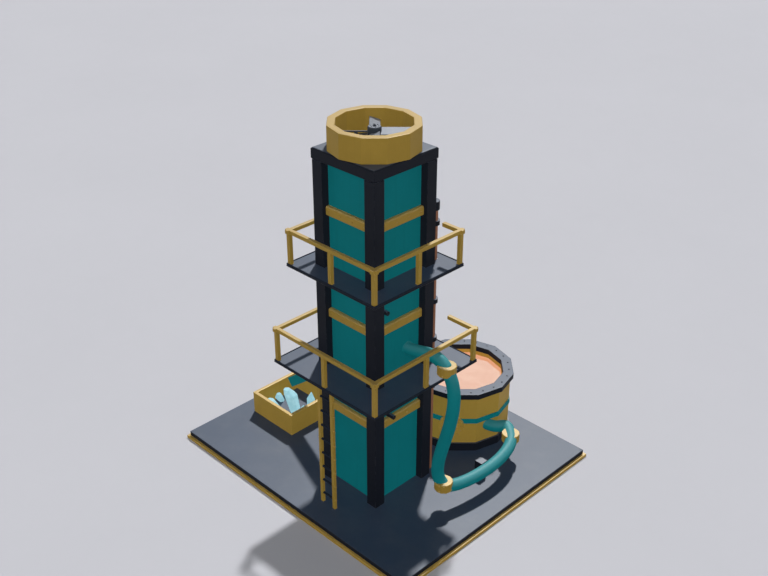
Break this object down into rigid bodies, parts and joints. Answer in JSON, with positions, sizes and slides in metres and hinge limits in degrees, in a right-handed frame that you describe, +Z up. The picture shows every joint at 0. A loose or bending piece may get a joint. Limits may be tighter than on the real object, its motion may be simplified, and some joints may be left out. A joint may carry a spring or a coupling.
{
  "type": "distillation column",
  "caption": "Square cased distillation column with railed platforms and a roof fan, piped to a round vat, with a crystal tray under its chute, all on one skid base.",
  "frame": {"origin": "middle of the skid base, on the ground", "axes": "+Z up, +X from the crystal tray's side towards the transfer pipe's side, +Y from the ladder's side towards the vat"},
  "size_m": [8.7, 7.46, 10.364],
  "materials": {
    "dark_steel": "near-black painted steel, satin",
    "deck_steel": "blue-black painted deck plate, satin",
    "brass": "warm satin brass",
    "teal_enamel": "teal enamel, semi-gloss",
    "fan_metal": "dark brushed steel",
    "copper": "satin copper",
    "crystal": "pale cyan frosted crystal"
  },
  "bodies": {
    "root": {"base_sill_sides": "brass", "base_sill_ends": "brass", "base_beams_sides": "dark_steel", "base_beams_ends": "dark_steel", "base_joists": "dark_steel", "deck_plate": "deck_steel", "corner_posts": "dark_steel", "wall_front": "teal_enamel", "wall_back": "teal_enamel", "wall_left": "teal_enamel", "wall_right": "teal_enamel", "band_lower": "brass", "band_middle": "brass", "band_upper": "brass", "roof_cap": "dark_steel", "fan_shroud": "brass", "fan_motor": "fan_metal", "lower_platform_plate": "dark_steel", "lower_platform_frame": "dark_steel", "lower_rail_posts": "brass", "lower_rail_bars": "brass", "upper_platform_plate": "dark_steel", "upper_platform_frame": "dark_steel", "upper_rail_posts": "brass", "upper_rail_bars": "brass", "ladder_stringers": "brass", "ladder_rungs": "dark_steel", "vat_floor": "dark_steel", "vat_wall": "brass", "vat_foot_ring": "dark_steel", "vat_rim": "dark_steel", "vat_hoop": "teal_enamel", "vat_port": "brass", "pipe_outlet": "teal_enamel", "pipe_drop": "teal_enamel", "pipe_run": "teal_enamel", "pipe_collars": "brass", "pipe_block": "dark_steel", "wall_nozzles": "dark_steel", "riser_pipe": "copper", "riser_clamps": "dark_steel", "riser_cap": "dark_steel", "tray_floor": "dark_steel", "tray_walls": "brass", "crystals": "crystal", "chute": "teal_enamel"},
    "fan": {"fan_hub": "fan_metal", "fan_blades": "fan_metal"}
  },
  "joints": [
    {"name": "fan_spin", "type": "hinge", "parent": "root", "child": "fan", "pos_m": [0.89, -1.205, 9.983], "axis": [0, 0, 1], "continuous": true}
  ]
}
